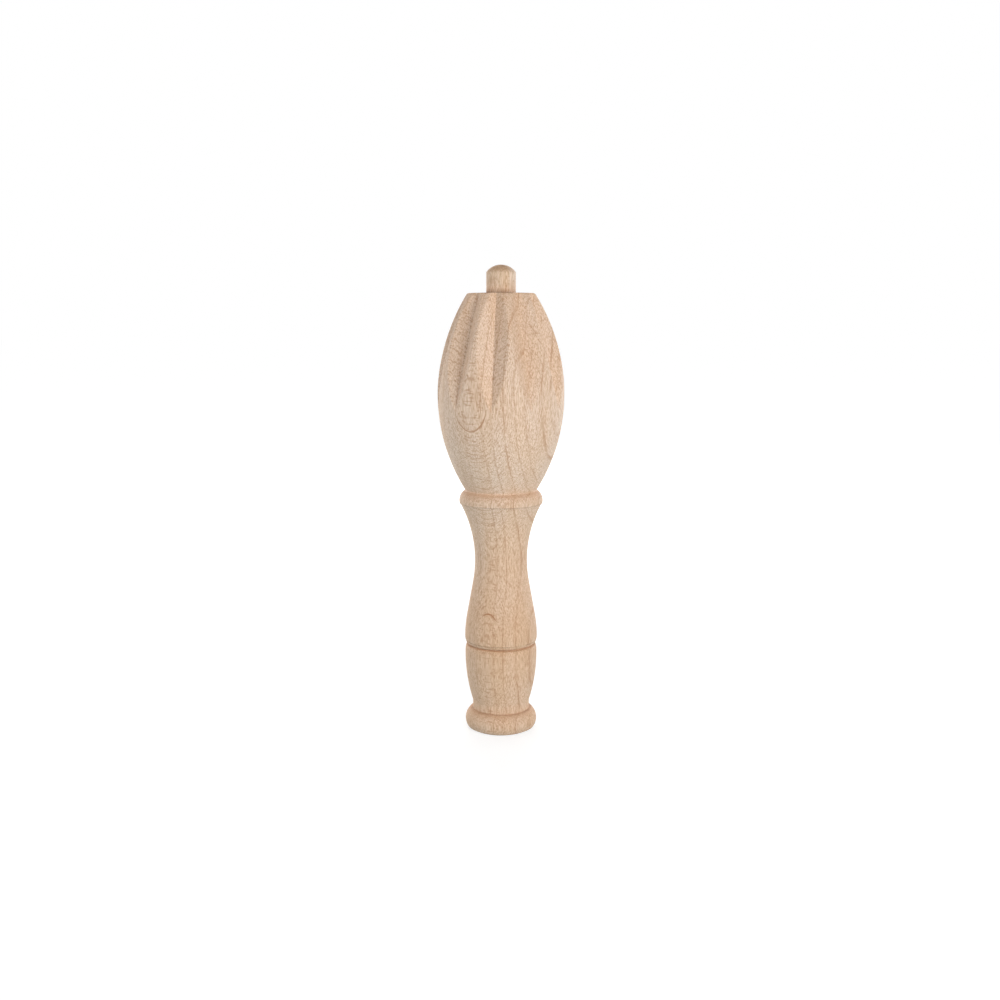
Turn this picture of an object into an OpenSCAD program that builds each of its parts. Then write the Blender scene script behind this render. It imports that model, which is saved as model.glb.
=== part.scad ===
// Wooden citrus reamer: a turned beech body with a fluted barrel head, and the dowel glued in its tip.
// Origin at the middle of the foot's resting face, +Z along the turning axis towards the tip.

/* [Overall] */
// Height of the body from the foot to the flat rim of the head
body_h = 150.6; // [147:0.2:154]

/* [Head] */
// Largest diameter of the barrel head
head_d = 42.9; // [41:0.1:45]
// Height of the head's widest place
head_z = 116.8; // [114:0.1:119]
// Radius of the curve that the barrel follows from end to end
head_curve = 61.5; // [58:0.5:66]

/* [Flutes] */
// Number of V flutes around the head
flute_count = 10; // [7:1:12]
// Direction of the first flute, turned from the front towards the right
flute_turn = -8.5; // [-20:0.1:20]
// Angle between the two walls of a flute
flute_angle = 124; // [116:1:136]
// Radius at which the bottom of a flute meets the plane of the rim
flute_rim_r = 10.2; // [9.6:0.1:10.8]
// Height at which a flute runs out on the barrel
flute_end_z = 112.2; // [109:0.2:115]
// Radius of the curved path that the bottom of a flute follows
flute_path = 500; // [200:20:800]

/* [Collar] */
// Largest diameter of the bead between the head and the handle
collar_d = 28.6; // [28:0.1:30]
// Height of the middle of that bead
collar_z = 80.8; // [80.4:0.1:81.2]
// Radius of the bead's rounded face
collar_round = 4; // [3.6:0.1:5]
// Distance from the middle of the bead down to its lower edge
collar_lip = 0.9; // [0.5:0.1:1.4]

/* [Handle] */
// Smallest diameter of the neck
neck_d = 17.96; // [16:0.2:20]
// Height of the middle of the neck
neck_z = 60; // [59:0.5:62]
// Radius of the hollow curve of the neck
neck_curve = 42; // [39:1:46]
// Largest diameter of the swell under the neck
swell_d = 25; // [24:0.2:26]
// Height of the swell's widest place
swell_z = 33; // [32.6:0.1:34]
// Radius of the swell's long curve
swell_curve = 42; // [38:1:46]
// Largest diameter of the cup under the groove
cup_d = 24.8; // [23.6:0.2:26]
// Height of the cup's widest place
cup_z = 27; // [25.6:0.1:27.6]
// Radius of the cup's long curve
cup_curve = 57; // [48:1:64]
// Diameter of the cup's waist above the foot
waist_d = 19.6; // [18:0.1:20.4]
// Radius of the eased edges on both sides of the groove
edge_round = 5; // [4:0.5:7]
// Height above the cup's widest place at which its eased edge starts
cup_ease = 1.2; // [0.6:0.1:2]
// Height above the swell's widest place at which its eased edge starts
swell_ease = 0.2; // [0:0.1:1]

/* [Groove] */
// Height of the V groove between the swell and the cup
groove_z = 30.6; // [30:0.1:31]
// Width of the groove at its mouth
groove_w = 1.4; // [1:0.1:2]
// Radius left at the bottom of the groove
groove_r = 11.3; // [10.6:0.1:11.6]

/* [Foot] */
// Largest diameter of the foot bead
foot_d = 24.8; // [23.4:0.2:27]
// Height of the middle of the foot bead
foot_z = 3.4; // [3:0.1:3.8]
// Radius of the foot bead's rounded face
foot_round = 4.7; // [4.4:0.1:6]
// Height of the notch between the foot bead and the cup
foot_notch_z = 7.3; // [6.8:0.1:8]
// Diameter of the flat that the reamer stands on
foot_flat_d = 20.4; // [18:0.2:21]
// Height of the broken edge around that flat
foot_break = 0.8; // [0.4:0.05:1.1]

/* [Tip dowel] */
// Diameter of the dowel
dowel_d = 9.92; // [8:0.08:12]
// Height of the dowel that stands above the rim
dowel_out = 9.4; // [7:0.2:12]
// Depth of the blind bore in the head that the dowel is glued into
bore_depth = 22; // [16:0.5:30]
// Gap between the dowel and the side of its bore, filled with glue
glue_gap = 0.04; // [0.02:0.01:0.1]
// Space left under the dowel at the bottom of its bore
bore_space = 0.3; // [0.2:0.1:0.8]
// Height of the rounded top of the dowel
dome_h = 2.5; // [1.5:0.1:3.5]
// Chamfer on the hidden end of the dowel
dowel_chamfer = 0.8; // [0.4:0.1:1.2]

/* [Hidden] */
$fn = 96;

// How far a cutting shape reaches past the wood that it cuts
past = 1;

head_r = head_d / 2;
collar_r = collar_d / 2;
neck_r = neck_d / 2;
swell_r = swell_d / 2;
cup_r = cup_d / 2;
foot_r = foot_d / 2;
dowel_r = dowel_d / 2;
bore_r = dowel_r + glue_gap;

// Radius of a stretch with a round face, at the height z
function face_r(r_max, z_max, curve, z) = r_max - curve + sqrt(pow(curve, 2) - pow(z - z_max, 2));

// A point at an angle on a circle, in the plane of the outline
function on_circle(centre, r, angle) = centre + r * [cos(angle), sin(angle)];

// The handle tapers along the straight line that touches both the swell's and the neck's curve.
// The line is sunk a hair into both, so that it crosses them cleanly.
swell_centre = [swell_r - swell_curve, swell_z];
neck_centre = [neck_r + neck_curve, neck_z];
between = neck_centre - swell_centre;
taper_angle = atan2(between.y, between.x) - acos((swell_curve + neck_curve) / norm(between));
taper_sink = 0.015;
taper_low = on_circle(swell_centre, swell_curve - taper_sink, taper_angle);
taper_high = on_circle(neck_centre, -neck_curve - taper_sink, taper_angle);

// Heights at which the long curves hand over to the eased edges beside the groove
ease_cup_z = cup_z + cup_ease;
ease_swell_z = swell_z + swell_ease;

// The bottom of a flute follows an arc in the plane through the turning axis.
// Its centre lies on the axis side of the line from the rim to the place where the flute runs out.
flute_top = [flute_rim_r, body_h];
flute_end = [face_r(head_r, head_z, head_curve, flute_end_z), flute_end_z];
flute_run = flute_end - flute_top;
flute_out = [-flute_run.y, flute_run.x] / norm(flute_run);
flute_drop = sqrt(pow(flute_path, 2) - pow(norm(flute_run) / 2, 2));
flute_centre = (flute_top + flute_end) / 2 - flute_drop * flute_out;
flute_from = atan2(flute_end.y - flute_centre.y, flute_end.x - flute_centre.x);
flute_to = atan2(flute_top.y - flute_centre.y, flute_top.x - flute_centre.x);
// The cutter is deep enough to reach past the head's widest place.
// It starts and ends a degree past the flute.
cutter_depth = head_r - flute_rim_r + past;
cutter_lead = 1;
// The cutter's path is a large circle, so it needs more facets than the rest
cutter_facets = 720;

// One turned stretch between two heights, with a long round face
module stretch(r_max, z_max, curve, z_low, z_high) {
  intersection() {
    translate([r_max - curve, z_max])
      circle(r = curve);
    translate([0, z_low])
      square([r_max + past, z_high - z_low]);
  }
}

// One turned stretch between two heights, with a face so tight that it needs a core
module bead(r_max, z_max, curve, z_low, z_high) {
  stretch(r_max, z_max, curve, z_low, z_high);
  translate([0, z_low])
    square([r_max - curve, z_high - z_low]);
}

module foot_outline() {
  difference() {
    bead(foot_r, foot_z, foot_round, 0, foot_notch_z);
    polygon([
      [foot_flat_d / 2, -past],
      [foot_flat_d / 2, 0],
      [face_r(foot_r, foot_z, foot_round, foot_break), foot_break],
      [foot_r + past, foot_break],
      [foot_r + past, -past]
    ]);
  }
}

module cup_outline() {
  translate([0, foot_notch_z])
    square([waist_d / 2, cup_z - foot_notch_z]);
  stretch(cup_r, cup_z, cup_curve, foot_notch_z, ease_cup_z);
  intersection() {
    stretch(cup_r, cup_z, cup_curve, ease_cup_z, groove_z);
    bead(cup_r, ease_cup_z, edge_round, ease_cup_z, groove_z);
  }
}

module swell_outline() {
  intersection() {
    stretch(swell_r, swell_z, swell_curve, groove_z, ease_swell_z);
    bead(swell_r, ease_swell_z, edge_round, groove_z, ease_swell_z);
  }
  stretch(swell_r, swell_z, swell_curve, ease_swell_z, taper_low.y + past);
}

// The taper and the hollow neck, up to the lower edge of the collar
module neck_outline() {
  difference() {
    union() {
      polygon([[0, taper_low.y], taper_low, taper_high, [0, taper_high.y]]);
      translate([0, taper_high.y])
        square([collar_r, collar_z - collar_lip - taper_high.y]);
    }
    translate(neck_centre)
      circle(r = neck_curve);
  }
}

module head_outline() {
  // The bead ends inside the barrel, just short of the end of its round
  bead_top = collar_z + collar_round - past / 4;
  bead(collar_r, collar_z, collar_round, collar_z - collar_lip, bead_top);
  stretch(head_r, head_z, head_curve, collar_z, body_h);
}

// The V groove, wide enough at the back to reach clear of the wood
module groove_outline() {
  depth = cup_r - groove_r;
  reach = depth + past;
  half_w = groove_w / 2 * reach / depth;
  polygon([
    [groove_r, groove_z],
    [groove_r + reach, groove_z + half_w],
    [groove_r + reach, groove_z - half_w]
  ]);
}

// The blank as it comes off the lathe
module turned_body() {
  rotate_extrude()
    difference() {
      union() {
        foot_outline();
        cup_outline();
        swell_outline();
        neck_outline();
        head_outline();
      }
      groove_outline();
    }
}

// The wood that a V cutter takes out as the head swings past it
module flute_cut() {
  half_w = cutter_depth * tan(flute_angle / 2);
  translate([flute_centre.x, 0, flute_centre.y])
    rotate([90, 0, 0])
      rotate([0, 0, flute_from - cutter_lead])
        rotate_extrude(angle = flute_to - flute_from + 2 * cutter_lead, $fn = cutter_facets)
          polygon([
            [flute_path, 0],
            [flute_path + cutter_depth, half_w],
            [flute_path + cutter_depth, -half_w]
          ]);
}

module reamer_body() {
  color("burlywood")
    difference() {
      turned_body();
      for (i = [0 : flute_count - 1])
        rotate([0, 0, flute_turn - 90 + i * 360 / flute_count])
          flute_cut();
      translate([0, 0, body_h - bore_depth])
        cylinder(r = bore_r, h = bore_depth + past);
    }
}

// A dowel with a domed top, pushed into the head until only its end stands out
module tip_dowel() {
  bottom_z = body_h - bore_depth + bore_space;
  top_z = body_h + dowel_out;
  shoulder_z = top_z - dome_h;
  dome_r = (pow(dowel_r, 2) + pow(dome_h, 2)) / (2 * dome_h);
  color("peru")
    rotate_extrude() {
      polygon([
        [0, bottom_z],
        [dowel_r - dowel_chamfer, bottom_z],
        [dowel_r, bottom_z + dowel_chamfer],
        [dowel_r, shoulder_z],
        [0, shoulder_z]
      ]);
      intersection() {
        translate([0, top_z - dome_r])
          circle(r = dome_r);
        translate([0, shoulder_z])
          square([dowel_r, dome_h + past]);
      }
    }
}

reamer_body();
tip_dowel();
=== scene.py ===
# A turned beech citrus reamer, standing on its foot on a white table.
import math

import bpy
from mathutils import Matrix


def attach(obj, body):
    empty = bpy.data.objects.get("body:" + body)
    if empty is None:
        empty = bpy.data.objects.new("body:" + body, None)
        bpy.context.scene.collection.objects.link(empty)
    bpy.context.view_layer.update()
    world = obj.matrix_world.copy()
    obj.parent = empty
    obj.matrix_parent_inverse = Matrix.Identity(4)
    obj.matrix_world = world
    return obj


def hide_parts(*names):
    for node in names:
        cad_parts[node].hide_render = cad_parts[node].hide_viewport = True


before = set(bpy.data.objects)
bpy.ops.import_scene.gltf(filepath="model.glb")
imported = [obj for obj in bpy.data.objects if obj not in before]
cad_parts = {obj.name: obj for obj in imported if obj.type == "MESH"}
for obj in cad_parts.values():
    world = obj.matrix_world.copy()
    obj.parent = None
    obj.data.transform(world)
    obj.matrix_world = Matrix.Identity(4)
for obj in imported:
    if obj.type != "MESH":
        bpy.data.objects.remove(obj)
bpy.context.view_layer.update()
scene = bpy.context.scene


# The camera stands 40 cm in front of the reamer, a little under the height of its rim, and looks slightly
# down. The reamer's axis lies one pixel to the right of the middle of the frame.
FOCAL_PIXELS = 1180
FRAME_PIXELS = 1000
CAMERA_PLACE = (-0.00034, -0.4, 0.14263)
CAMERA_PITCH = math.radians(8.8)
camera_data = bpy.data.cameras.new("camera")
camera_data.sensor_width = 36
camera_data.lens = camera_data.sensor_width * FOCAL_PIXELS / FRAME_PIXELS
camera = bpy.data.objects.new("camera", camera_data)
camera.location = CAMERA_PLACE
camera.rotation_euler = (math.pi / 2 - CAMERA_PITCH, 0, 0)
scene.collection.objects.link(camera)
scene.camera = camera


# The turned body is one billet of steamed beech, turned between centres on a lathe.
# Its outline runs from the middle of the foot up the outside and over the rim, then down the dowel's bore.
# Ten V flutes are milled into the head afterwards, and the whole is sanded, which eases every edge a little.
# Sizes are in millimetres. A form has its diameter where it is widest or narrowest, the height of that place
# and the radius of its curve. The edges beside the groove are eased by arcs of their own, and the head is a
# few hundredths slimmer than the solid's, so that the finer mesh stays inside the solid's box.
MM = 0.001
FOOT = {"widest": 24.8, "at": 3.4, "curve": 4.7}
FOOT_FLAT = 20.4
FOOT_BREAK = 0.8
NOTCH = 7.3
WAIST = 19.6
CUP = {"widest": 24.8, "at": 27, "curve": 57}
CUP_EDGE = {"widest": 24.8, "at": 28.2, "curve": 5}
GROOVE = 30.6
GROOVE_WIDTH = 1.4
GROOVE_RADIUS = 11.3
SWELL_EDGE = {"widest": 25, "at": 33.2, "curve": 5}
SWELL = {"widest": 25, "at": 33, "curve": 42}
NECK = {"narrowest": 17.96, "at": 60, "curve": 42}
COLLAR = {"widest": 28.6, "at": 80.8, "curve": 4}
COLLAR_LIP = 0.9
HEAD = {"widest": 42.87, "at": 116.8, "curve": 61.5}
RIM = 150.6
BORE = 10.0
BORE_FLOOR = 128.6
SANDING = 0.25


def swelling(z, form):
    across = form["curve"] ** 2 - (z - form["at"]) ** 2
    return form["widest"] / 2 - form["curve"] + math.sqrt(across) if across > 0 else 0


def hollow(z, form):
    return form["narrowest"] / 2 + form["curve"] - math.sqrt(form["curve"] ** 2 - (z - form["at"]) ** 2)


# A straight taper touches both the swell and the hollow of the neck.
swell_centre = (SWELL["widest"] / 2 - SWELL["curve"], SWELL["at"])
neck_centre = (NECK["narrowest"] / 2 + NECK["curve"], NECK["at"])
apart = (neck_centre[0] - swell_centre[0], neck_centre[1] - swell_centre[1])
slope = math.atan2(apart[1], apart[0]) - math.acos((SWELL["curve"] + NECK["curve"]) / math.hypot(*apart))
taper_low = (swell_centre[0] + SWELL["curve"] * math.cos(slope),
             swell_centre[1] + SWELL["curve"] * math.sin(slope))
taper_high = (neck_centre[0] - NECK["curve"] * math.cos(slope),
              neck_centre[1] - NECK["curve"] * math.sin(slope))
lip = COLLAR["at"] - COLLAR_LIP


def body_radius(z):
    if z < NOTCH:
        return swelling(z, FOOT)
    if z < CUP["at"]:
        return max(WAIST / 2, swelling(z, CUP))
    groove = GROOVE_RADIUS + abs(z - GROOVE) * (CUP["widest"] / 2 - GROOVE_RADIUS) / (GROOVE_WIDTH / 2)
    if z < GROOVE:
        edge = swelling(z, CUP_EDGE) if z > CUP_EDGE["at"] else math.inf
        return min(swelling(z, CUP), edge, groove)
    if z < taper_low[1]:
        edge = swelling(z, SWELL_EDGE) if z < SWELL_EDGE["at"] else math.inf
        return min(swelling(z, SWELL), edge, groove)
    if z < taper_high[1]:
        share = (z - taper_low[1]) / (taper_high[1] - taper_low[1])
        return taper_low[0] + share * (taper_high[0] - taper_low[0])
    if z < lip:
        return hollow(z, NECK)
    return max(swelling(z, COLLAR), swelling(z, HEAD) if z > COLLAR["at"] else 0)


# Each flute is a V that is deepest at the rim and runs out to a point on the barrel.
FLUTES = 10
FIRST_FLUTE = math.radians(-8.5)
FLUTE_ANGLE = math.radians(124)
FLUTE_RIM_RADIUS = 10.2
FLUTE_END = 112.2
FLUTE_PATH = 500

# The rows of points lie close together where the outline turns sharply, and a hair apart at its corners.
# Each stretch starts at a height, has its rows this far apart, and ends where the next one starts.
FINE = 0.3
PLAIN = 0.9
CORNER = 0.1
HAIR = 0.01
# Fine rows go on this far beside a corner, over the collar's lip, round the flutes' points and under the rim.
BESIDE_CORNER = 1
OVER_LIP = 6
UNDER_POINTS = 4
OVER_POINTS = 6
UNDER_RIM = 2
stretches = ((FOOT_BREAK, FINE), (NOTCH - CORNER, PLAIN), (NOTCH - HAIR, PLAIN), (NOTCH + HAIR, PLAIN),
             (NOTCH + CORNER, FINE), (NOTCH + BESIDE_CORNER, PLAIN), (CUP["at"], FINE),
             (GROOVE - GROOVE_WIDTH / 2, CORNER), (GROOVE + GROOVE_WIDTH / 2, FINE),
             (SWELL["at"] + BESIDE_CORNER, PLAIN), (lip - BESIDE_CORNER, FINE), (lip - CORNER, PLAIN),
             (lip - HAIR, PLAIN), (lip + HAIR, PLAIN), (lip + CORNER, FINE), (lip + OVER_LIP, PLAIN),
             (FLUTE_END - UNDER_POINTS, FINE), (FLUTE_END + OVER_POINTS, PLAIN), (RIM - UNDER_RIM, FINE))
ends = [start for start, step in stretches[1:]] + [RIM - SANDING]
outline = [(0, 0), (FOOT_FLAT / 2 - SANDING, 0), (FOOT_FLAT / 2, CORNER)]
for (start, step), end in zip(stretches, ends):
    count = max(1, round((end - start) / step))
    heights = [start + (end - start) * i / count for i in range(count)]
    outline += [(body_radius(z), z) for z in heights]
outline += [(body_radius(RIM - SANDING), RIM - SANDING), (body_radius(RIM) - SANDING, RIM),
            (BORE / 2 + SANDING, RIM), (BORE / 2, RIM - SANDING), (BORE / 2, BORE_FLOOR), (0, BORE_FLOOR)]


# A node or a socket given as an input is linked, and anything else is set as the input's value.
def add_node(tree, kind, settings={}, inputs={}):
    node = tree.nodes.new(kind)
    for name, value in settings.items():
        setattr(node, name, value)
    for name, value in inputs.items():
        if isinstance(value, bpy.types.Node):
            tree.links.new(value.outputs[0], node.inputs[name])
        elif isinstance(value, bpy.types.NodeSocket):
            tree.links.new(value, node.inputs[name])
        else:
            node.inputs[name].default_value = value
    return node


# The V cutter follows an arc in the plane of the axis, and the arc's centre lies far behind the axis.
flute_top = (FLUTE_RIM_RADIUS, RIM)
flute_end = (swelling(FLUTE_END, HEAD), FLUTE_END)
run = (flute_end[0] - flute_top[0], flute_end[1] - flute_top[1])
length = math.hypot(*run)
drop = math.sqrt(FLUTE_PATH ** 2 - length ** 2 / 4)
path_out = (flute_top[0] + flute_end[0]) / 2 + drop * run[1] / length
path_up = (flute_top[1] + flute_end[1]) / 2 - drop * run[0] / length

COLUMNS = 320
tree = bpy.data.node_groups.new("fluted_turning", "GeometryNodeTree")
MATH = "ShaderNodeMath"
tree.interface.new_socket("Outline", in_out="INPUT", socket_type="NodeSocketGeometry")
sizes = {"Columns": ("NodeSocketInt", COLUMNS),
         "Flutes": ("NodeSocketInt", FLUTES),
         "First Flute": ("NodeSocketFloat", FIRST_FLUTE),
         "Flute End": ("NodeSocketFloat", FLUTE_END * MM),
         "Wall Slope": ("NodeSocketFloat", 1 / math.tan(FLUTE_ANGLE / 2)),
         "Path Radius": ("NodeSocketFloat", FLUTE_PATH * MM),
         "Path Centre Out": ("NodeSocketFloat", path_out * MM),
         "Path Centre Up": ("NodeSocketFloat", path_up * MM),
         "Sanding": ("NodeSocketFloat", SANDING * MM),
         "Wood": ("NodeSocketMaterial", None)}
sockets = {name: tree.interface.new_socket(name, in_out="INPUT", socket_type=kind).identifier
           for name, (kind, value) in sizes.items()}
tree.interface.new_socket("Body", in_out="OUTPUT", socket_type="NodeSocketGeometry")
given = add_node(tree, "NodeGroupInput").outputs

# A sheet has one row of points for each point of the outline, and one column too many, which closes it.
points = add_node(tree, "GeometryNodeAttributeDomainSize", {}, {"Geometry": given["Outline"]})
rows = points.outputs["Point Count"]
columns = add_node(tree, MATH, {"operation": "ADD"}, {0: given["Columns"], 1: 1})
sheet = add_node(tree, "GeometryNodeMeshGrid", {}, {"Vertices X": columns, "Vertices Y": rows})
index = add_node(tree, "GeometryNodeInputIndex")
row = add_node(tree, MATH, {"operation": "MODULO"}, {0: index, 1: rows})
sheets = add_node(tree, MATH, {"operation": "DIVIDE"}, {0: index, 1: rows})
column = add_node(tree, MATH, {"operation": "FLOOR"}, {0: sheets})
position = add_node(tree, "GeometryNodeInputPosition")
point = add_node(tree, "GeometryNodeSampleIndex", {"data_type": "FLOAT_VECTOR"},
                 {"Geometry": given["Outline"], "Index": row, "Value": position})
outline_place = add_node(tree, "ShaderNodeSeparateXYZ", {}, {"Vector": point}).outputs
turned, height = outline_place["X"], outline_place["Z"]

# How far out the bottom of a flute lies at this height, and how steeply its walls rise from it.
over_centre = add_node(tree, MATH, {"operation": "SUBTRACT"}, {0: height, 1: given["Path Centre Up"]})
over2 = add_node(tree, MATH, {"operation": "MULTIPLY"}, {0: over_centre, 1: over_centre})
radius2 = add_node(tree, MATH, {"operation": "MULTIPLY"}, {0: given["Path Radius"], 1: given["Path Radius"]})
level2 = add_node(tree, MATH, {"operation": "SUBTRACT"}, {0: radius2, 1: over2})
level = add_node(tree, MATH, {"operation": "SQRT"}, {0: level2})
bottom = add_node(tree, MATH, {"operation": "ADD"}, {0: level, 1: given["Path Centre Out"]})
tilt = add_node(tree, MATH, {"operation": "DIVIDE"}, {0: given["Path Radius"], 1: level})
rise = add_node(tree, MATH, {"operation": "MULTIPLY"}, {0: given["Wall Slope"], 1: tilt})

# The angle from the middle of a flute to its edge. Under the flutes it widens until the columns are even.
NARROWEST = math.radians(2)
WALL_SHARE = 0.8
EVEN_BELOW = 20
lean = add_node(tree, MATH, {"operation": "ARCTANGENT"}, {0: rise})
lean_cosine = add_node(tree, MATH, {"operation": "COSINE"}, {0: lean})
near_edge = add_node(tree, MATH, {"operation": "MULTIPLY"}, {0: bottom, 1: lean_cosine})
outside = add_node(tree, MATH, {"operation": "MAXIMUM"}, {0: turned, 1: MM})
edge_share = add_node(tree, MATH, {"operation": "DIVIDE"}, {0: near_edge, 1: outside})
edge_cosine = add_node(tree, MATH, {"operation": "MINIMUM"}, {0: edge_share, 1: 1.0})
edge_angle = add_node(tree, MATH, {"operation": "ARCCOSINE"}, {0: edge_cosine})
edge = add_node(tree, MATH, {"operation": "SUBTRACT"}, {0: edge_angle, 1: lean})
pitch = add_node(tree, MATH, {"operation": "DIVIDE"}, {0: math.tau, 1: given["Flutes"]})
even = add_node(tree, MATH, {"operation": "MULTIPLY"}, {0: pitch, 1: WALL_SHARE / 2})
under = add_node(tree, MATH, {"operation": "SUBTRACT"}, {0: given["Flute End"], 1: EVEN_BELOW * MM})
widen = add_node(tree, "ShaderNodeMapRange", {},
                 {"Value": height, "From Min": given["Flute End"], "From Max": under,
                  "To Min": NARROWEST, "To Max": even})
half_width = add_node(tree, MATH, {"operation": "MAXIMUM"}, {0: edge, 1: widen})

# Each flute has its share of the columns, and four fifths of these lie on its two walls.
share = add_node(tree, MATH, {"operation": "DIVIDE"}, {0: given["Columns"], 1: given["Flutes"]})
turns = add_node(tree, MATH, {"operation": "DIVIDE"}, {0: column, 1: share})
flute = add_node(tree, MATH, {"operation": "ROUND"}, {0: turns})
side = add_node(tree, MATH, {"operation": "SUBTRACT"}, {0: turns, 1: flute})
way = add_node(tree, MATH, {"operation": "SIGN"}, {0: side})
off = add_node(tree, MATH, {"operation": "ABSOLUTE"}, {0: side})
half_pitch = add_node(tree, MATH, {"operation": "MULTIPLY"}, {0: pitch, 1: 0.5})
half_land = add_node(tree, MATH, {"operation": "SUBTRACT"}, {0: half_pitch, 1: half_width})
on_wall = add_node(tree, "ShaderNodeMapRange", {},
                   {"Value": off, "From Max": WALL_SHARE / 2, "To Max": half_width})
on_land = add_node(tree, "ShaderNodeMapRange", {},
                   {"Value": off, "From Min": WALL_SHARE / 2, "From Max": 0.5, "To Max": half_land})
off_centre = add_node(tree, MATH, {"operation": "ADD"}, {0: on_wall, 1: on_land})
middle = add_node(tree, MATH, {"operation": "MULTIPLY_ADD"}, {0: flute, 1: pitch, 2: given["First Flute"]})
around = add_node(tree, MATH, {"operation": "MULTIPLY_ADD"}, {0: way, 1: off_centre, 2: middle})

# The flute's wall in this direction, and the wood that the lathe and the cutter leave between them.
WELD = 0.002
wall_cosine = add_node(tree, MATH, {"operation": "COSINE"}, {0: off_centre})
wall_sine = add_node(tree, MATH, {"operation": "SINE"}, {0: off_centre})
wall_rise = add_node(tree, MATH, {"operation": "MULTIPLY"}, {0: rise, 1: wall_sine})
wall_share = add_node(tree, MATH, {"operation": "SUBTRACT"}, {0: wall_cosine, 1: wall_rise})
wall = add_node(tree, MATH, {"operation": "DIVIDE"}, {0: bottom, 1: wall_share})
wood = add_node(tree, MATH, {"operation": "SMOOTH_MIN"}, {0: turned, 1: wall, 2: given["Sanding"]})
inward = add_node(tree, MATH, {"operation": "MULTIPLY"}, {0: wood, 1: -1.0})
front = add_node(tree, "ShaderNodeCombineXYZ", {}, {"Y": inward, "Z": height})
spot = add_node(tree, "ShaderNodeVectorRotate", {"rotation_type": "Z_AXIS"},
                {"Vector": front, "Angle": around})
shaped = add_node(tree, "GeometryNodeSetPosition", {}, {"Geometry": sheet, "Position": spot})
closed = add_node(tree, "GeometryNodeMergeByDistance", {}, {"Geometry": shaped, "Distance": WELD * MM})
smooth = add_node(tree, "GeometryNodeSetShadeSmooth", {}, {"Geometry": closed})
real = add_node(tree, "GeometryNodeRealizeInstances", {}, {"Geometry": smooth})
finished = add_node(tree, "GeometryNodeSetMaterial", {}, {"Geometry": real, "Material": given["Wood"]})
add_node(tree, "NodeGroupOutput", {}, {"Body": finished})


# Colours are written as sRGB and turned to the linear values that the nodes work in.
def srgb(hex_colour):
    channels = [int(hex_colour[i:i + 2], 16) / 255 for i in (0, 2, 4)]
    return [c / 12.92 if c <= 0.04045 else ((c + 0.055) / 1.055) ** 2.4 for c in channels] + [1.0]


# Sizes in the grain are in millimetres. Three of them together run across the rings, along a ring and up the
# fibres. A noise stays near 0.5, and its pattern grows from nothing to full over the span of values given.
TONE_AREA = (5, 7, 25)
TONE_SPAN = (0.35, 0.65)
BROWNEST = 30.0
PALE_FROM_THERE = 65.0
FIBRE_BUNDLE = (0.3, 0.3, 14)
STREAK_SPAN = (0.5, 0.72)
STREAK = 0.3
PORE_SIZE = (0.2, 0.2, 2.2)
PORE_SPAN = (0.58, 0.3)
PORE = 0.65
PORE_DEPTH = 0.04
PORE_RELIEF = 0.3
RING_BEND = (6, 6, 20)
WANDER = 0.7
LATE_WOOD = ((0.6, 0.0), (0.86, 0.2), (0.9, 0.8), (0.92, 1.0), (0.985, 1.0))
YEAR_STRENGTH = (0.3, 0.7)
PATCH_SIZE = (4, 4, 9)
PATCH_SPAN = (0.35, 0.6)
WEAKEST_PATCH = 0.3
FAINT_RINGS = (84, 89)
FAINTEST = 0.4
# Each kind of small ray: the gap between its sheets, a ray's length and height, and the noise it starts at.
SMALL_RAYS = ((0.35, 3, 0.5, 0.53), (0.9, 6, 1.3, 0.6))
SHEET_MIDDLES = (0.25, 0.75)
SHEET_HALF = (0.03, 0.1)
NEXT_SHEET = 7.3
SMALL_RAY_FADE = 0.06
SMALL_FLECK = 0.42
RAY_THICKNESS = 0.07
RAY_CORE = 0.7
SHADE_LINE_BROWN = "7A4A2C"
END_GRAIN_FACES = (0.55, 0.8)
END_GRAIN = 0.22
SANDED_ROUGHNESS = 0.65
BARE_WOOD_SHINE = 0.2


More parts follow.
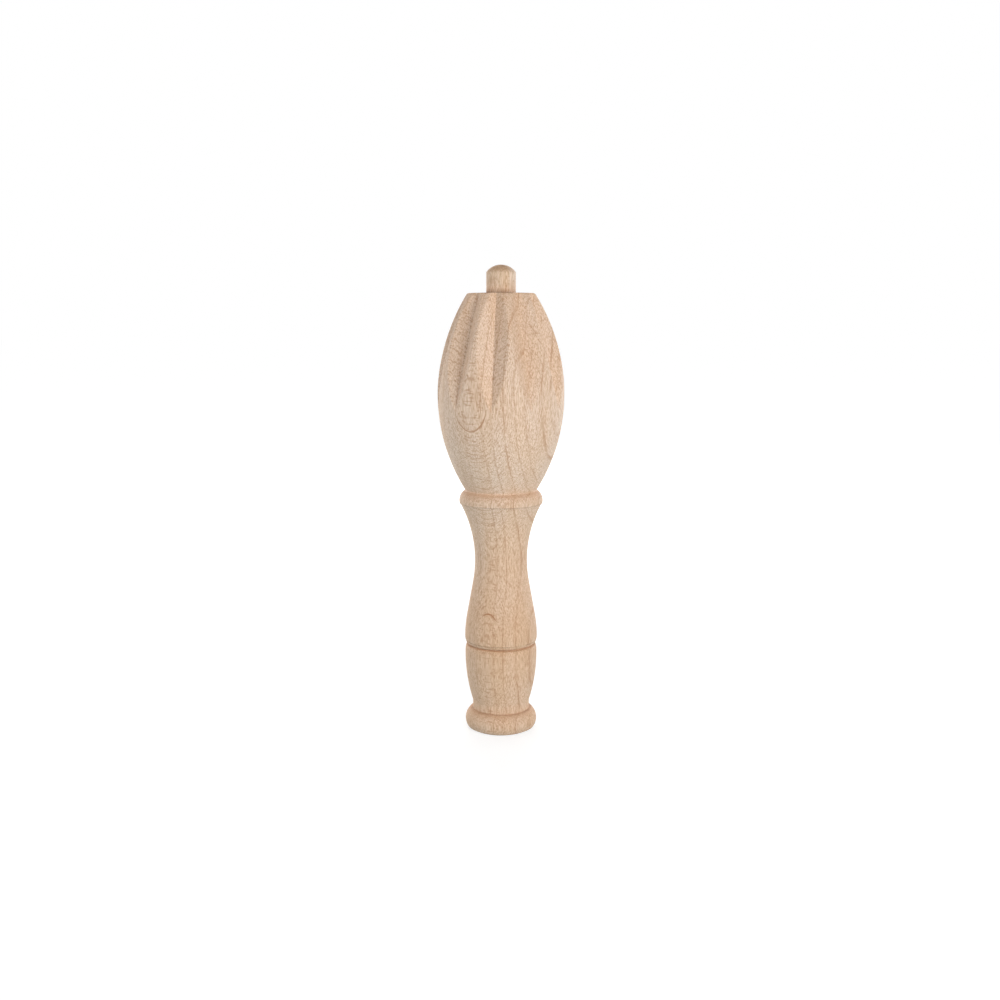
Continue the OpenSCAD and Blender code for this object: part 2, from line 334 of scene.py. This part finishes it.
# Beech is pale pinkish brown, and matt where it is sanded and left bare. Each year's growth ends in a thin
# darker line, which runs upright on a turned face. Its rays are thin upright sheets that stand across those
# rings. Where a face lies along the sheets they show as arches and level dashes, and elsewhere as short
# upright dashes.
def beech(name, tones, line, fleck, pith, ring_edges, large_rays, shade_lines):
    material = bpy.data.materials.new(name)
    material.use_nodes = True
    tree = material.node_tree
    shader = tree.nodes["Principled BSDF"]
    coordinates = add_node(tree, "ShaderNodeTexCoord").outputs

    # The grain's own directions: outwards across the rings, along a ring, and up the fibres.
    from_pith = add_node(tree, "ShaderNodeMapping", {},
                         {"Vector": coordinates["Object"], "Location": (-pith[0], -pith[1], 0),
                          "Scale": (1 / MM, 1 / MM, 1 / MM)})
    parts = add_node(tree, "ShaderNodeSeparateXYZ", {}, {"Vector": from_pith}).outputs
    up = parts["Z"]
    level = add_node(tree, "ShaderNodeVectorMath", {"operation": "MULTIPLY"}, {0: from_pith, 1: (1, 1, 0)})
    outwards = add_node(tree, "ShaderNodeVectorMath", {"operation": "LENGTH"}, {0: level}).outputs["Value"]
    turn = add_node(tree, MATH, {"operation": "ARCTAN2"}, {0: parts["Y"], 1: parts["X"]})
    along = add_node(tree, MATH, {"operation": "MULTIPLY"}, {0: turn, 1: math.hypot(*pith)})
    grain = add_node(tree, "ShaderNodeCombineXYZ", {}, {"X": outwards, "Y": along, "Z": up})

    # The billet is brownest at the swell and paler towards both ends, with pinker and yellower areas in it.
    over_swell = add_node(tree, MATH, {"operation": "SUBTRACT"}, {0: up, 1: BROWNEST})
    from_swell = add_node(tree, MATH, {"operation": "ABSOLUTE"}, {0: over_swell})
    pale = add_node(tree, "ShaderNodeMapRange", {}, {"Value": from_swell, "From Max": PALE_FROM_THERE})
    tone_place = add_node(tree, "ShaderNodeMapping", {},
                          {"Vector": grain, "Scale": [1 / size for size in TONE_AREA]})
    tone = add_node(tree, "ShaderNodeTexNoise", {}, {"Vector": tone_place, "Scale": 1.0, "Detail": 0.0})
    warmth = add_node(tree, "ShaderNodeMapRange", {},
                      {"Value": tone, "From Min": TONE_SPAN[0], "From Max": TONE_SPAN[1]})
    pink = add_node(tree, "ShaderNodeMix", {"data_type": "RGBA"},
                    {"Factor": pale, "A": srgb(tones[0]), "B": srgb(tones[1])}).outputs["Result"]
    yellow = add_node(tree, "ShaderNodeMix", {"data_type": "RGBA"},
                      {"Factor": pale, "A": srgb(tones[2]), "B": srgb(tones[3])}).outputs["Result"]
    toned = add_node(tree, "ShaderNodeMix", {"data_type": "RGBA"},
                     {"Factor": warmth, "A": pink, "B": yellow}).outputs["Result"]

    # Bundles of fibres make upright streaks, a few of which are nearly as brown as the ring lines. The pores
    # between them are finer than a tenth of a millimetre, and are drawn twice as coarse so that they show.
    fibre_place = add_node(tree, "ShaderNodeMapping", {},
                           {"Vector": grain, "Scale": [1 / size for size in FIBRE_BUNDLE]})
    fibres = add_node(tree, "ShaderNodeTexNoise", {}, {"Vector": fibre_place, "Scale": 1.0, "Detail": 2.0})
    streak = add_node(tree, "ShaderNodeMapRange", {},
                      {"Value": fibres, "From Min": STREAK_SPAN[0], "From Max": STREAK_SPAN[1],
                       "To Max": STREAK})
    streaked = add_node(tree, "ShaderNodeMix", {"data_type": "RGBA"},
                        {"Factor": streak, "A": toned, "B": srgb(line)}).outputs["Result"]
    pore_place = add_node(tree, "ShaderNodeMapping", {},
                          {"Vector": grain, "Scale": [1 / size for size in PORE_SIZE]})
    pores = add_node(tree, "ShaderNodeTexNoise", {}, {"Vector": pore_place, "Scale": 1.0, "Detail": 1.0})
    pore = add_node(tree, "ShaderNodeMapRange", {},
                    {"Value": pores, "From Min": PORE_SPAN[0], "From Max": PORE_SPAN[1], "To Max": PORE})
    fibrous = add_node(tree, "ShaderNodeMix", {"data_type": "RGBA"},
                       {"Factor": pore, "A": streaked, "B": srgb(line)}).outputs["Result"]

    # Each ring has its own width, and its edge wanders by up to half a millimetre over a centimetre or two.
    # The last tenth of it is the dark line, stronger in some years and places, and faint near the pith.
    wander_place = add_node(tree, "ShaderNodeMapping", {},
                            {"Vector": grain, "Scale": [1 / size for size in RING_BEND]})
    wander = add_node(tree, "ShaderNodeTexNoise", {}, {"Vector": wander_place, "Scale": 1.0, "Detail": 3.0})
    aside = add_node(tree, "ShaderNodeMapRange", {}, {"Value": wander, "To Min": -WANDER, "To Max": WANDER})
    wandered = add_node(tree, MATH, {"operation": "ADD"}, {0: outwards, 1: aside})
    first, last = ring_edges[0], ring_edges[-1]
    in_rings = add_node(tree, "ShaderNodeMapRange", {},
                        {"Value": wandered, "From Min": first, "From Max": last})
    growth = add_node(tree, "ShaderNodeFloatCurve", {}, {"Value": in_rings})
    ring_count = len(ring_edges) - 1
    for count, ring_edge in enumerate(ring_edges[1:-1], 1):
        growth.mapping.curves[0].points.new((ring_edge - first) / (last - first), count / ring_count)
    years = add_node(tree, MATH, {"operation": "MULTIPLY"}, {0: growth, 1: float(ring_count)})
    season = add_node(tree, MATH, {"operation": "FRACT"}, {0: years})
    late = add_node(tree, "ShaderNodeFloatCurve", {}, {"Value": season})
    late.mapping.curves[0].points[1].location = (1, 0)
    for at, darkness in LATE_WOOD:
        late.mapping.curves[0].points.new(at, darkness)
    for curve_node in (growth, late):
        for corner in curve_node.mapping.curves[0].points:
            corner.handle_type = "VECTOR"
        curve_node.mapping.update()
    year = add_node(tree, MATH, {"operation": "FLOOR"}, {0: years})
    luck = add_node(tree, "ShaderNodeTexWhiteNoise", {"noise_dimensions": "1D"}, {"W": year}).outputs["Value"]
    strength = add_node(tree, "ShaderNodeMapRange", {},
                        {"Value": luck, "To Min": YEAR_STRENGTH[0], "To Max": YEAR_STRENGTH[1]})
    patch_place = add_node(tree, "ShaderNodeMapping", {},
                           {"Vector": grain, "Scale": [1 / size for size in PATCH_SIZE]})
    patches = add_node(tree, "ShaderNodeTexNoise", {}, {"Vector": patch_place, "Scale": 1.0, "Detail": 2.0})
    patch = add_node(tree, "ShaderNodeMapRange", {},
                     {"Value": patches, "From Min": PATCH_SPAN[0], "From Max": PATCH_SPAN[1],
                      "To Min": WEAKEST_PATCH})
    outer = add_node(tree, "ShaderNodeMapRange", {},
                     {"Value": outwards, "From Min": FAINT_RINGS[0], "From Max": FAINT_RINGS[1],
                      "To Min": FAINTEST})
    here = add_node(tree, MATH, {"operation": "MULTIPLY"}, {0: strength, 1: patch})
    dark = add_node(tree, MATH, {"operation": "MULTIPLY"}, {0: late, 1: here})
    ring = add_node(tree, MATH, {"operation": "MULTIPLY"}, {0: dark, 1: outer})
    ringed = add_node(tree, "ShaderNodeMix", {"data_type": "RGBA"},
                      {"Factor": ring, "A": fibrous, "B": srgb(line)}).outputs["Result"]

    # Small rays lie in thin sheets, the short ones a third of a millimetre apart, the long ones nearly one.
    # Noise with its own place in each sheet leaves lengths of them a few millimetres long and about one tall.
    ray = 0.0
    for apart, long, tall, fewest in SMALL_RAYS:
        sheet = add_node(tree, MATH, {"operation": "DIVIDE"}, {0: along, 1: apart})
        number = add_node(tree, MATH, {"operation": "FLOOR"}, {0: sheet})
        across = add_node(tree, MATH, {"operation": "FRACT"}, {0: sheet})
        spot = add_node(tree, "ShaderNodeTexWhiteNoise", {"noise_dimensions": "1D"}, {"W": number})
        middle = add_node(tree, "ShaderNodeMapRange", {},
                          {"Value": spot.outputs["Value"], "To Min": SHEET_MIDDLES[0],
                           "To Max": SHEET_MIDDLES[1]})
        off = add_node(tree, MATH, {"operation": "SUBTRACT"}, {0: across, 1: middle})
        far = add_node(tree, MATH, {"operation": "ABSOLUTE"}, {0: off})
        thin = add_node(tree, "ShaderNodeMapRange", {},
                        {"Value": far, "From Min": SHEET_HALF[0] / apart,
                         "From Max": SHEET_HALF[1] / apart, "To Min": 1.0, "To Max": 0.0})
        layer = add_node(tree, "ShaderNodeCombineXYZ", {}, {"X": outwards, "Y": number, "Z": up})
        ray_place = add_node(tree, "ShaderNodeMapping", {},
                             {"Vector": layer, "Scale": (1 / long, NEXT_SHEET, 1 / tall)})
        lengths = add_node(tree, "ShaderNodeTexNoise", {}, {"Vector": ray_place, "Scale": 1.0, "Detail": 0.0})
        present = add_node(tree, "ShaderNodeMapRange", {},
                           {"Value": lengths, "From Min": fewest, "From Max": fewest + SMALL_RAY_FADE,
                            "To Max": SMALL_FLECK})
        one = add_node(tree, MATH, {"operation": "MULTIPLY"}, {0: thin, 1: present})
        ray = add_node(tree, MATH, {"operation": "MAXIMUM"}, {0: ray, 1: one})

    # The large rays are thin lenses. Each is given by an angle about the pith, how far from the pith and how
    # high its middle lies, how far it reaches both ways outwards and upwards, and how strongly it shows.
    for angle, middle, height, out_reach, up_reach, weight in large_rays:
        scales = (1 / out_reach, 1 / RAY_THICKNESS, 1 / up_reach)
        centre = (middle, math.radians(angle) * math.hypot(*pith), height)
        lens = add_node(tree, "ShaderNodeMapping", {},
                        {"Vector": grain, "Location": [-c * s for c, s in zip(centre, scales)],
                         "Scale": scales})
        deep = add_node(tree, "ShaderNodeVectorMath", {"operation": "LENGTH"}, {0: lens}).outputs["Value"]
        one = add_node(tree, "ShaderNodeMapRange", {},
                       {"Value": deep, "From Min": RAY_CORE, "From Max": 1.0,
                        "To Min": weight, "To Max": 0.0})
        ray = add_node(tree, MATH, {"operation": "MAXIMUM"}, {0: ray, 1: one})
    flecked = add_node(tree, "ShaderNodeMix", {"data_type": "RGBA"},
                       {"Factor": ray, "A": ringed, "B": srgb(fleck)}).outputs["Result"]

    # Thin brown lines, broken into lengths, are painted at the given heights: painted shade where creases and
    # joints lie in shade.
    shade_strength = 0.0
    for height, half_width, weight in shade_lines:
        away = add_node(tree, MATH, {"operation": "SUBTRACT"}, {0: up, 1: height})
        near = add_node(tree, MATH, {"operation": "ABSOLUTE"}, {0: away})
        one = add_node(tree, "ShaderNodeMapRange", {},
                       {"Value": near, "From Min": half_width, "From Max": 0.0, "To Max": weight})
        shade_strength = add_node(tree, MATH, {"operation": "MAXIMUM"}, {0: shade_strength, 1: one})
    broken_shade = add_node(tree, MATH, {"operation": "MULTIPLY"}, {0: shade_strength, 1: patch})
    shaded_colour = add_node(tree, "ShaderNodeMix", {"data_type": "RGBA"},
                         {"Factor": broken_shade, "A": flecked, "B": srgb(SHADE_LINE_BROWN)}).outputs["Result"]

    # Where a face cuts across the fibres it shows end grain, which is darker.
    facing = add_node(tree, "ShaderNodeSeparateXYZ", {}, {"Vector": coordinates["Normal"]}).outputs["Z"]
    cut_across = add_node(tree, MATH, {"operation": "ABSOLUTE"}, {0: facing})
    end_grain = add_node(tree, "ShaderNodeMapRange", {},
                         {"Value": cut_across, "From Min": END_GRAIN_FACES[0],
                          "From Max": END_GRAIN_FACES[1], "To Max": END_GRAIN})
    ended = add_node(tree, "ShaderNodeMix", {"data_type": "RGBA"},
                     {"Factor": end_grain, "A": shaded_colour, "B": srgb(line)}).outputs["Result"]
    bump = add_node(tree, "ShaderNodeBump", {},
                    {"Height": pores, "Strength": PORE_RELIEF, "Distance": PORE_DEPTH * MM})
    tree.links.new(ended, shader.inputs["Base Color"])
    tree.links.new(bump.outputs["Normal"], shader.inputs["Normal"])
    shader.inputs["Roughness"].default_value = SANDED_ROUGHNESS
    shader.inputs["Specular IOR Level"].default_value = BARE_WOOD_SHINE
    return material


# Sanded beech without oil or lacquer: a warm pale brown that stays matt, with ring lines that run upright at
# the right and rays that open into arches left of the middle. The tones are the pinker one at the swell and
# at the ends, then the yellower one at both. The pith lies outside the billet, to its left and behind it.
BODY_TONES = ("DFBC9D", "E7CBB2", "DCB795", "E4C5A9")
BODY_LINE = "AE7A52"
BODY_FLECK = "AC7650"
BODY_PITH = (-82, 22)
BODY_RINGS = (59, 62.3, 65, 67.9, 71.1, 73.6, 76.8, 80.1, 83.4, 86.7, 89.6, 93.4, 96.5, 99, 102.8, 104.9,
              108)
BODY_RAYS = ((-28.95, 84, 109, 9, 5, 0.75), (-27.35, 83, 98.5, 6, 3, 0.5), (-28.3, 82, 103.5, 6, 3.5, 0.3),
             (-25.3, 83, 90.5, 5, 2.4, 0.5), (-24.2, 83, 79.6, 4, 1.4, 0.5), (-22.6, 85, 74.4, 5, 2, 0.45),
             (-21.3, 86, 66.2, 4, 1.6, 0.45), (-22.7, 84.8, 42, 3.4, 3.5, 0.9),
             (-23.42, 84.5, 36, 1.6, 1.2, 0.4))
# Painted shade lies in the groove, in the notch above the foot and under the collar's lip; one more line runs
# along the groove's upper edge.
# A line has its height, how far it fades to either side, and how dark it is.
GROOVE_LIP = GROOVE + 1.3
SHADE_LINES = ((GROOVE, 0.4, 0.45), (GROOVE_LIP, 0.25, 0.5), (NOTCH, 0.4, 0.35), (lip, 0.3, 0.35))
body_beech = beech("sanded_beech", BODY_TONES, BODY_LINE, BODY_FLECK, BODY_PITH, BODY_RINGS, BODY_RAYS,
                   SHADE_LINES)

blank_mesh = bpy.data.meshes.new("blank_outline")
blank_mesh.from_pydata([(r * MM, 0, z * MM) for r, z in outline],
                       [(i, i + 1) for i in range(len(outline) - 1)], [])
blank = bpy.data.objects.new("blank_outline", blank_mesh)
scene.collection.objects.link(blank)
turning = blank.modifiers.new("fluted_turning", "NODES")
turning.node_group = tree
for name, (kind, value) in sizes.items():
    turning[sockets[name]] = body_beech if name == "Wood" else value
blank.update_tag()
evaluated = blank.evaluated_get(bpy.context.evaluated_depsgraph_get())
body_mesh = bpy.data.meshes.new_from_object(evaluated)
blank.modifiers.remove(turning)
bpy.data.objects.remove(blank)
turned_body = bpy.data.objects.new("turned_body", body_mesh)
scene.collection.objects.link(turned_body)
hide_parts("reamer_body")
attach(turned_body, "root")


# The tip dowel: bought 10 mm beech dowel with a domed end, glued into the bore in the head.
# It is cut from other wood, so its grain is turned another way and it is a little browner.
# Painted shade darkens it over the last two millimetres down to the glue line round its base, where it meets
# the rim.
DOWEL_TONES = ("E3CCB6", "E3CCB6", "DDBE9F", "DDBE9F")
DOWEL_LINE = "A87950"
DOWEL_FLECK = "AE8059"
DOWEL_PITH = (34, 25)
DOWEL_RINGS = (32, 34.5, 36.8, 39, 41.1, 43.5, 46, 48.4, 50.5)
# Painted shade at the dowel's foot: its height, how far it fades upwards, and how dark it is.
GLUE_LINE_SHADE = (RIM + 0.1, 1.8, 0.45)
dowel_beech = beech("beech_dowel", DOWEL_TONES, DOWEL_LINE, DOWEL_FLECK, DOWEL_PITH, DOWEL_RINGS, (),
                    (GLUE_LINE_SHADE,))
tip_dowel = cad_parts["tip_dowel"]
tip_dowel.data.materials.clear()
tip_dowel.data.materials.append(dowel_beech)


# The table is a plain white sheet that runs out of sight, and still takes the reamer's shadow. It glows where
# it is seen, a little less close to the reamer, so that it looks white. The light that it throws back is
# cool, which makes undersides paler and less orange than the faces that look up.
FLOOR_REACH = 6
GLOW_SPAN = (0.15, 0.8)
NEAREST_GLOW = 0.75
COOL_BOUNCE = "B4DCF5"
SHEET_GREY = "AAAAAA"
floor_mesh = bpy.data.meshes.new("floor")
corners = [(x * FLOOR_REACH, y * FLOOR_REACH, 0) for x, y in ((-1, -1), (1, -1), (1, 1), (-1, 1))]
floor_mesh.from_pydata(corners, [], [(0, 1, 2, 3)])
floor = bpy.data.objects.new("floor", floor_mesh)
scene.collection.objects.link(floor)


# Gives 1 for what the camera sees, straight or mirrored or through glass, and 0 for all other light.
def in_view(tree):
    rays = add_node(tree, "ShaderNodeLightPath").outputs
    mirrored = add_node(tree, MATH, {"operation": "MAXIMUM"},
                        {0: rays["Is Glossy Ray"], 1: rays["Is Transmission Ray"]})
    return add_node(tree, MATH, {"operation": "MAXIMUM"}, {0: rays["Is Camera Ray"], 1: mirrored})


table_white = bpy.data.materials.new("white_table")
table_white.use_nodes = True
tree = table_white.node_tree
tree.nodes.clear()
seen = in_view(tree)
from_middle = add_node(tree, "ShaderNodeTexCoord").outputs["Object"]
away = add_node(tree, "ShaderNodeVectorMath", {"operation": "LENGTH"}, {0: from_middle}).outputs["Value"]
backlit = add_node(tree, "ShaderNodeMapRange", {},
                   {"Value": away, "From Min": GLOW_SPAN[0], "From Max": GLOW_SPAN[1],
                    "To Min": NEAREST_GLOW, "To Max": 1.0})
lift = add_node(tree, MATH, {"operation": "MULTIPLY"}, {0: seen, 1: backlit})
sheet_colour = add_node(tree, "ShaderNodeMix", {"data_type": "RGBA"},
                        {"Factor": seen, "A": srgb(COOL_BOUNCE), "B": srgb(SHEET_GREY)}).outputs["Result"]
sheet_white = add_node(tree, "ShaderNodeBsdfDiffuse", {}, {"Color": sheet_colour})
glow = add_node(tree, "ShaderNodeEmission", {}, {"Color": (1, 1, 1, 1), "Strength": lift})
both = add_node(tree, "ShaderNodeAddShader", {}, {0: sheet_white, 1: glow})
add_node(tree, "ShaderNodeOutputMaterial", {}, {"Surface": both})
floor_mesh.materials.append(table_white)


# The room behind the table is white to the camera and in reflections, and throws no other light.
# The reamer is lit by the soft boxes, and by the table that they light.
world = bpy.data.worlds.new("white_room")
scene.world = world
world.use_nodes = True
tree = world.node_tree
tree.nodes.clear()
room = add_node(tree, "ShaderNodeBackground", {}, {"Color": (1, 1, 1, 1), "Strength": in_view(tree)})
add_node(tree, "ShaderNodeOutputWorld", {}, {"Surface": room})


# Seven soft boxes stand round the reamer, all turned to its middle. The brightest is a little to the right of
# the camera. A strength of 1 makes white look white on a face turned to it.
SOFTBOX_AWAY = 0.8
SOFTBOX_WIDTH = 0.5
SOFTBOX_HEIGHT = 0.4
LIT_HEIGHT = 0.09
SOFTBOXES = (("right", 30, 8, 0.92), ("left", -90, 8, 0.39), ("front_left", -45, 8, 0.14),
             ("back_left", -135, 8, 0.38), ("back_right", 135, 8, 0.43), ("backdrop", 180, 27, 0.48),
             ("top", 0, 90, 0.12))
for name, degrees_round, degrees_up, strength in SOFTBOXES:
    light = bpy.data.lights.new(name + "_softbox", "AREA")
    light.shape = "RECTANGLE"
    light.size = SOFTBOX_WIDTH
    light.size_y = SOFTBOX_HEIGHT
    light.energy = math.pi ** 2 * SOFTBOX_AWAY ** 2 * strength
    lamp = bpy.data.objects.new(name + "_softbox", light)
    turn, climb = math.radians(degrees_round), math.radians(degrees_up)
    out = SOFTBOX_AWAY * math.cos(climb)
    lamp.location = (out * math.sin(turn), -out * math.cos(turn), LIT_HEIGHT + SOFTBOX_AWAY * math.sin(climb))
    lamp.rotation_euler = (math.pi / 2 - climb, 0, turn)
    lamp.visible_camera = False
    scene.collection.objects.link(lamp)

scene.view_settings.view_transform = "Standard"
